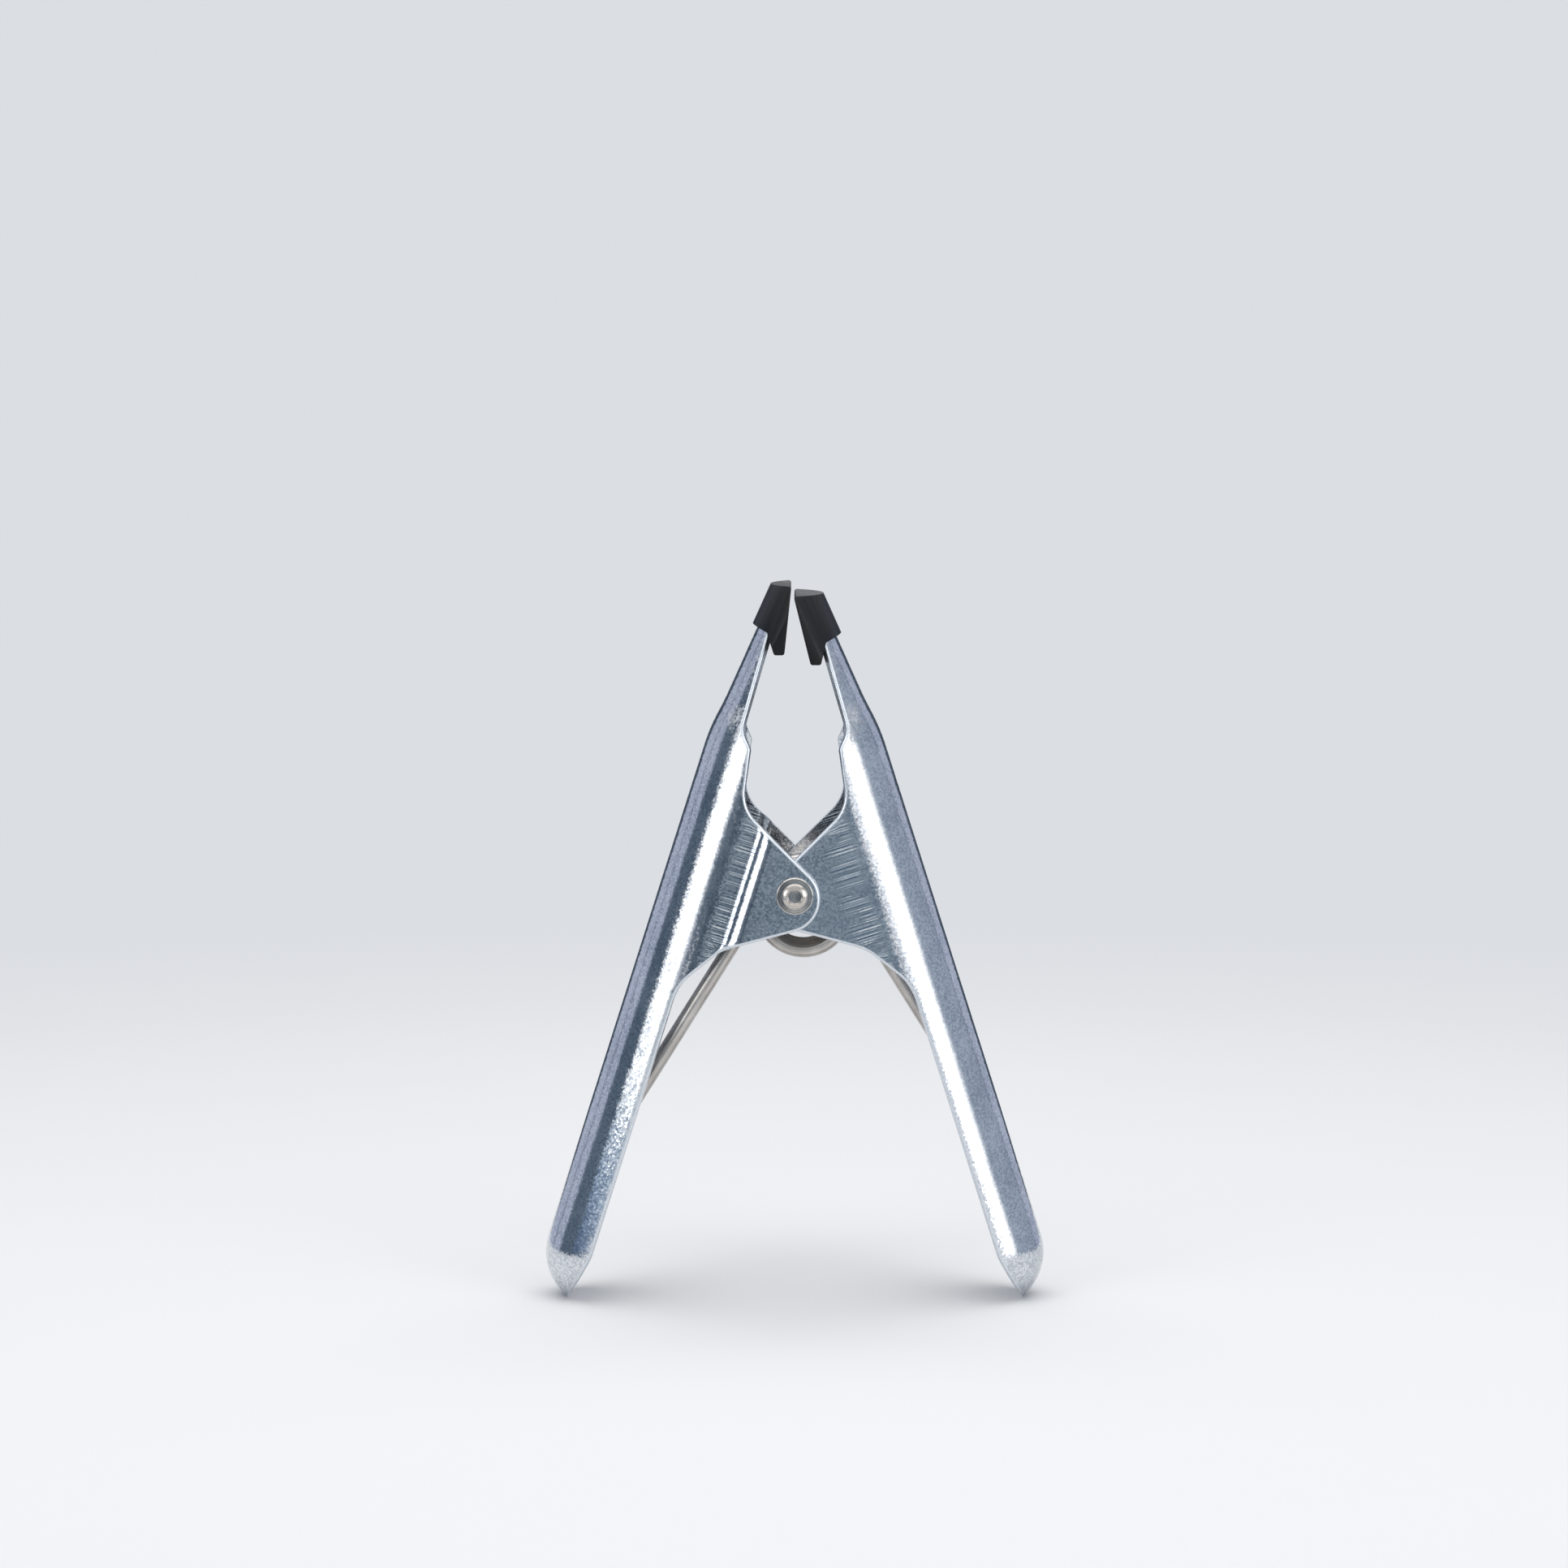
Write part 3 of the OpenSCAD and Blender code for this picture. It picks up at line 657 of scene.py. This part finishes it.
def wireTree(material):  # sweeps a round wire along a curve, with its cut ends eased
    tree = bpy.data.node_groups.new("wire_along_path", "GeometryNodeTree")
    tree.interface.new_socket("Path", in_out="INPUT", socket_type="NodeSocketGeometry")
    sizes = {}
    for name in ("Wire radius", "End round", "End scale"):
        socket = tree.interface.new_socket(name, in_out="INPUT", socket_type="NodeSocketFloat")
        sizes[name] = socket.identifier
    tree.interface.new_socket("Wire", in_out="OUTPUT", socket_type="NodeSocketGeometry")
    given = addNode(tree, "NodeGroupInput").outputs
    along = addNode(tree, "GeometryNodeSplineParameter").outputs["Length"]
    whole = addNode(tree, "GeometryNodeSplineLength").outputs["Length"]
    left = addNode(tree, "ShaderNodeMath", {0: whole, 1: along}, operation="SUBTRACT")
    toEnd = addNode(tree, "ShaderNodeMath", {0: along, 1: left.outputs[0]}, operation="MINIMUM")
    share = addNode(tree, "ShaderNodeMath", {0: toEnd.outputs[0], 1: given["End round"]},
                    operation="DIVIDE", use_clamp=True)
    swell = addNode(tree, "ShaderNodeMath", {0: share.outputs[0], 1: spring["endPower"]}, operation="POWER")
    scale = addNode(tree, "ShaderNodeMapRange", {"Value": swell.outputs[0], "To Min": given["End scale"]})
    path = addNode(tree, "GeometryNodeStoreNamedAttribute", {
        "Geometry": given["Path"], "Name": "wireAlong", "Value": along}, data_type="FLOAT", domain="POINT")
    ring = addNode(tree, "GeometryNodeCurvePrimitiveCircle", {"Resolution": spring["sides"],
                                                              "Radius": given["Wire radius"]})
    onRing = addNode(tree, "GeometryNodeInputPosition").outputs[0]
    ring = addNode(tree, "GeometryNodeStoreNamedAttribute", {
        "Geometry": ring.outputs["Curve"], "Name": "wireRound", "Value": onRing},
        data_type="FLOAT_VECTOR", domain="POINT")
    wire = addNode(tree, "GeometryNodeCurveToMesh", {
        "Curve": path.outputs[0], "Profile Curve": ring.outputs[0], "Scale": scale.outputs[0],
        "Fill Caps": True})
    wire = addNode(tree, "GeometryNodeSetShadeSmooth", {"Geometry": wire.outputs[0]})
    wire = addNode(tree, "GeometryNodeRealizeInstances", {"Geometry": wire.outputs[0]})
    wire = addNode(tree, "GeometryNodeSetMaterial", {"Geometry": wire.outputs[0], "Material": material})
    addNode(tree, "NodeGroupOutput", {0: wire.outputs[0]})
    return tree, sizes


def makeSpring(material):
    curve = bpy.data.curves.new("spring_path", "CURVE")
    curve.dimensions = "3D"
    points = springPath()
    line = curve.splines.new("POLY")
    line.points.add(len(points) - 1)
    for place, point in zip(line.points, points):
        place.co = (*point, 1)
    helper = bpy.data.objects.new("spring_path", curve)
    bpy.context.scene.collection.objects.link(helper)
    tree, sizes = wireTree(material)
    modifier = helper.modifiers.new("wire", "NODES")
    modifier.node_group = tree
    modifier[sizes["Wire radius"]] = spring["wire"] / 2 * mm
    modifier[sizes["End round"]] = spring["endRound"] * mm
    modifier[sizes["End scale"]] = spring["endScale"]
    mesh = bpy.data.meshes.new_from_object(helper.evaluated_get(bpy.context.evaluated_depsgraph_get()))
    bpy.data.objects.remove(helper)
    bpy.data.curves.remove(curve)
    print("spring wire", len(mesh.polygons), "faces")
    return newObject("spring_wire_coil", mesh)


# Hard-drawn spring wire, in mm: warm grey steel, dull, with die lines along it.
# The lines are drawn wider than they are, so that they show
wireLook = dict(light="#CFCBC6", shade="#A29D98", lineLength=14.0, lineWidth=0.28, lineDepth=0.006,
                lineRange=(0.3, 0.7), mottle=2.5, mottleShare=0.35, toneRange=(0.35, 0.65), detail=3.0,
                roughness=(0.26, 0.42))


def makeWireSteel():
    material, tree, shader = newMaterial("hard_drawn_spring_steel", Metallic=1.0)
    along = addNode(tree, "ShaderNodeAttribute", attribute_name="wireAlong").outputs["Fac"]
    across = addNode(tree, "ShaderNodeAttribute", attribute_name="wireRound").outputs["Vector"]
    split = addNode(tree, "ShaderNodeSeparateXYZ", {0: across}).outputs
    place = addNode(tree, "ShaderNodeCombineXYZ", {0: along, 1: split["X"], 2: split["Y"]}).outputs[0]
    lineSize = (wireLook["lineLength"], wireLook["lineWidth"], wireLook["lineWidth"])
    drawn = addNode(tree, "ShaderNodeMapping", {
        "Vector": place, "Scale": tuple(1 / (size * mm) for size in lineSize)}).outputs[0]
    lines = addNode(tree, "ShaderNodeTexNoise", {
        "Vector": drawn, "Scale": 1.0, "Detail": wireLook["detail"]}).outputs["Fac"]
    spots = addNode(tree, "ShaderNodeTexNoise", {
        "Vector": place, "Scale": 1 / (wireLook["mottle"] * mm),
        "Detail": wireLook["detail"]}).outputs["Fac"]
    both = addNode(tree, "ShaderNodeMix", {0: wireLook["mottleShare"], 2: lines, 3: spots}).outputs[0]
    low, high = wireLook["toneRange"]
    pick = addNode(tree, "ShaderNodeMapRange", {"Value": both, "From Min": low,
                                                "From Max": high}).outputs[0]
    colour = addNode(tree, "ShaderNodeMix", {0: pick, 6: linear(wireLook["shade"]),
                                             7: linear(wireLook["light"])}, data_type="RGBA")
    tree.links.new(colour.outputs[2], shader.inputs["Base Color"])
    (low, high), (smooth, dull) = wireLook["lineRange"], wireLook["roughness"]
    rough = addNode(tree, "ShaderNodeMapRange", {"Value": lines, "From Min": low, "From Max": high,
                                                 "To Min": smooth, "To Max": dull})
    tree.links.new(rough.outputs[0], shader.inputs["Roughness"])
    bump = addNode(tree, "ShaderNodeBump", {"Height": lines, "Strength": 1.0,
                                            "Distance": wireLook["lineDepth"] * mm})
    tree.links.new(bump.outputs[0], shader.inputs["Normal"])
    return material


# Tubular rivet, in mm from the pivot: flat head behind, the tube's end rolled over the front ear
rivet = dict(shankRadius=1.7, neckRound=0.1, headRadius=3.6, headHeight=1.2, headRound=0.3, headClear=0.05,
             flangeRadius=2.7, flangeEdge=0.5, flangeRound=0.15, collarRadius=1.75, collarFoot=0.52,
             collarHeight=0.98, collarRound=0.12, height=1.2, lipRound=0.08, holeRadius=1.12, holeDepth=0.6,
             holeRound=0.15, holeDish=0.05, pathStep=0.03, segments=72, flatWeight=100)


def rivetProfile():  # radius and height, from the middle of the rear head to the floor of the front hole
    seat = lever["backRadius"] + lever["sheet"] + lever["earGap"] + rivet["headClear"]
    shank, head, flange = rivet["shankRadius"], rivet["headRadius"], rivet["flangeRadius"]
    collar, hole, neckRound = rivet["collarRadius"], rivet["holeRadius"], rivet["neckRound"]
    rear, top = -seat - rivet["headHeight"], seat + rivet["height"]
    floor = top - rivet["holeDepth"]
    return roundedPath([
        ((0, rear), 0),
        ((head, rear), rivet["headRound"]),
        ((head, -seat), rivet["headRound"] / 2),
        ((shank, -seat), neckRound),
        ((shank, seat), neckRound),
        ((flange, seat), neckRound),
        ((flange, seat + rivet["flangeEdge"]), rivet["flangeRound"]),
        ((collar, seat + rivet["collarFoot"]), neckRound),
        ((collar, seat + rivet["collarHeight"]), rivet["collarRound"]),
        ((hole, top), rivet["lipRound"]),
        ((hole, floor), rivet["holeRound"]),
        ((0, floor - rivet["holeDish"]), 0)], rivet["pathStep"])


def latheMesh(name, profile, segments, onAxis=1e-6, mergeGap=1e-7):  # turned about the pivot's axis
    work = bmesh.new()
    rings = []
    angles = [2 * math.pi * k / segments for k in range(segments)]
    for p in profile:
        if p.x < onAxis:
            rings.append([work.verts.new(pivot + Vector((0, -p.y, 0)) * mm)] * segments)
            continue
        ring = [Vector((p.x * math.cos(a), -p.y, p.x * math.sin(a))) for a in angles]
        rings.append([work.verts.new(pivot + place * mm) for place in ring])
    for low, high in zip(rings, rings[1:]):
        for k in range(segments):
            corners = [low[k], low[(k + 1) % segments], high[(k + 1) % segments], high[k]]
            work.faces.new(list(dict.fromkeys(corners))).smooth = True
    bmesh.ops.remove_doubles(work, verts=work.verts, dist=mergeGap)
    bmesh.ops.recalc_face_normals(work, faces=work.faces)
    mesh = bpy.data.meshes.new(name)
    work.to_mesh(mesh)
    work.free()
    return mesh


# Bright rivet steel, in mm: warm pale grey with the rings that the rolling tool left.
# The rings are drawn wider than they are, so that they show
rivetLook = dict(light="#D8D3CD", shade="#AAA49D", ring=0.34, ringDepth=0.0012, ringWobble=0.6,
                 ringDetail=2.0, mottle=0.8, mottleDetail=3.0, mottleShare=0.55, roughness=(0.1, 0.26))


def makeRivetSteel():
    material, tree, shader = newMaterial("rolled_rivet_steel", Metallic=1.0)
    place = addNode(tree, "ShaderNodeTexCoord").outputs["Object"]
    centred = addNode(tree, "ShaderNodeMapping", {"Vector": place, "Location": tuple(-pivot)}).outputs[0]
    ringScale = math.pi / 10 / (rivetLook["ring"] * mm)  # a wave texture of scale 1 repeats each pi / 10
    rings = addNode(tree, "ShaderNodeTexWave", {
        "Vector": centred, "Scale": ringScale, "Distortion": rivetLook["ringWobble"],
        "Detail": rivetLook["ringDetail"]}, wave_type="RINGS", rings_direction="Y").outputs["Fac"]
    spots = addNode(tree, "ShaderNodeTexNoise", {
        "Vector": place, "Scale": 1 / (rivetLook["mottle"] * mm),
        "Detail": rivetLook["mottleDetail"]}).outputs["Fac"]
    both = addNode(tree, "ShaderNodeMix", {0: rivetLook["mottleShare"], 2: rings, 3: spots}).outputs[0]
    colour = addNode(tree, "ShaderNodeMix", {0: both, 6: linear(rivetLook["shade"]),
                                             7: linear(rivetLook["light"])}, data_type="RGBA")
    tree.links.new(colour.outputs[2], shader.inputs["Base Color"])
    smooth, dull = rivetLook["roughness"]
    rough = addNode(tree, "ShaderNodeMapRange", {"Value": spots, "To Min": smooth, "To Max": dull})
    tree.links.new(rough.outputs[0], shader.inputs["Roughness"])
    bump = addNode(tree, "ShaderNodeBump", {"Height": rings, "Distance": rivetLook["ringDepth"] * mm})
    tree.links.new(bump.outputs[0], shader.inputs["Normal"])
    return material


# Jaw caps, in mm and degrees: the moulded solid with its edges eased
cap = dict(mergeGap=0.002, flatAngle=1.0, edgeRound=0.28, edgeSegments=3, edgeAngle=32.0)


def makeCap(name, node, *materials):  # the second material goes on the eased edges
    work = bmesh.new()
    work.from_mesh(frame["nodes"][node].data)
    bmesh.ops.remove_doubles(work, verts=work.verts, dist=cap["mergeGap"] * mm)
    bmesh.ops.dissolve_limit(work, verts=work.verts, edges=work.edges,
                             angle_limit=math.radians(cap["flatAngle"]))
    for face in work.faces:
        face.smooth = True
    mesh = bpy.data.meshes.new(name)
    work.to_mesh(mesh)
    work.free()
    obj = newObject(name, mesh, *materials)
    bevel = obj.modifiers.new("eased edges", "BEVEL")
    bevel.width = cap["edgeRound"] * mm
    bevel.segments = cap["edgeSegments"]
    bevel.limit_method = "ANGLE"
    bevel.angle_limit = math.radians(cap["edgeAngle"])
    bevel.harden_normals = True
    bevel.material = 1
    return obj


# Moulded black vinyl, in mm: soft sheen, fine spark-eroded grain, and a painted sheen on the eased edges,
# which are a little paler and smoother. The grain is drawn coarser than it is, so that it shows
vinylLook = dict(body="#0A0C0F", edge="#24282D", cloud=4.0, cloudDetail=3.0, cloudLift=1.4, grain=0.35,
                 grainDetail=2.0, grainDepth=0.012, gloss=0.3, bodyRoughness=(0.3, 0.5),
                 edgeRoughness=(0.22, 0.42))


def makeVinyl(name, colour, roughness):
    material, tree, shader = newMaterial(name, Specular_IOR_Level=vinylLook["gloss"])
    place = addNode(tree, "ShaderNodeTexCoord").outputs["Object"]
    cloud = addNode(tree, "ShaderNodeTexNoise", {
        "Vector": place, "Scale": 1 / (vinylLook["cloud"] * mm),
        "Detail": vinylLook["cloudDetail"]}).outputs["Fac"]
    grain = addNode(tree, "ShaderNodeTexNoise", {
        "Vector": place, "Scale": 1 / (vinylLook["grain"] * mm),
        "Detail": vinylLook["grainDetail"]}).outputs["Fac"]
    tone = linear(colour)
    paler = [c * vinylLook["cloudLift"] for c in tone[:3]] + [1.0]
    mix = addNode(tree, "ShaderNodeMix", {0: cloud, 6: tone, 7: paler}, data_type="RGBA")
    tree.links.new(mix.outputs[2], shader.inputs["Base Color"])
    smooth, dull = roughness
    rough = addNode(tree, "ShaderNodeMapRange", {"Value": grain, "To Min": smooth, "To Max": dull})
    tree.links.new(rough.outputs[0], shader.inputs["Roughness"])
    bump = addNode(tree, "ShaderNodeBump", {"Height": grain, "Strength": 1.0,
                                            "Distance": vinylLook["grainDepth"] * mm})
    tree.links.new(bump.outputs[0], shader.inputs["Normal"])
    return material


# the spring's wire, swept along its path and fixed in place, stands in for the hidden CAD spring
springWire = makeSpring(makeWireSteel())
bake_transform(springWire)
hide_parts("torsion_spring")

rivetMesh = latheMesh("rolled_rivet", rivetProfile(), rivet["segments"])
rivetPiece = newObject("rolled_rivet", rivetMesh, makeRivetSteel())
rivetPiece.modifiers.new("flats shaded flat", "WEIGHTED_NORMAL").weight = rivet["flatWeight"]
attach(rivetPiece, "outer_lever")
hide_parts("pivot_rivet")

vinyl = makeVinyl("moulded_black_vinyl", vinylLook["body"], vinylLook["bodyRoughness"])
# the eased edges get a paler, smoother vinyl: a painted sheen along the caps' edges
sheenEdgeVinyl = makeVinyl("vinyl_edge_painted_sheen", vinylLook["edge"], vinylLook["edgeRoughness"])
for body in ("outer", "inner"):
    piece = makeCap(body + "_cap_moulding", body + "_jaw_cap", vinyl, sheenEdgeVinyl)
    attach(piece, body + "_lever")
    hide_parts(body + "_jaw_cap")
print("rivet, spring and caps made")
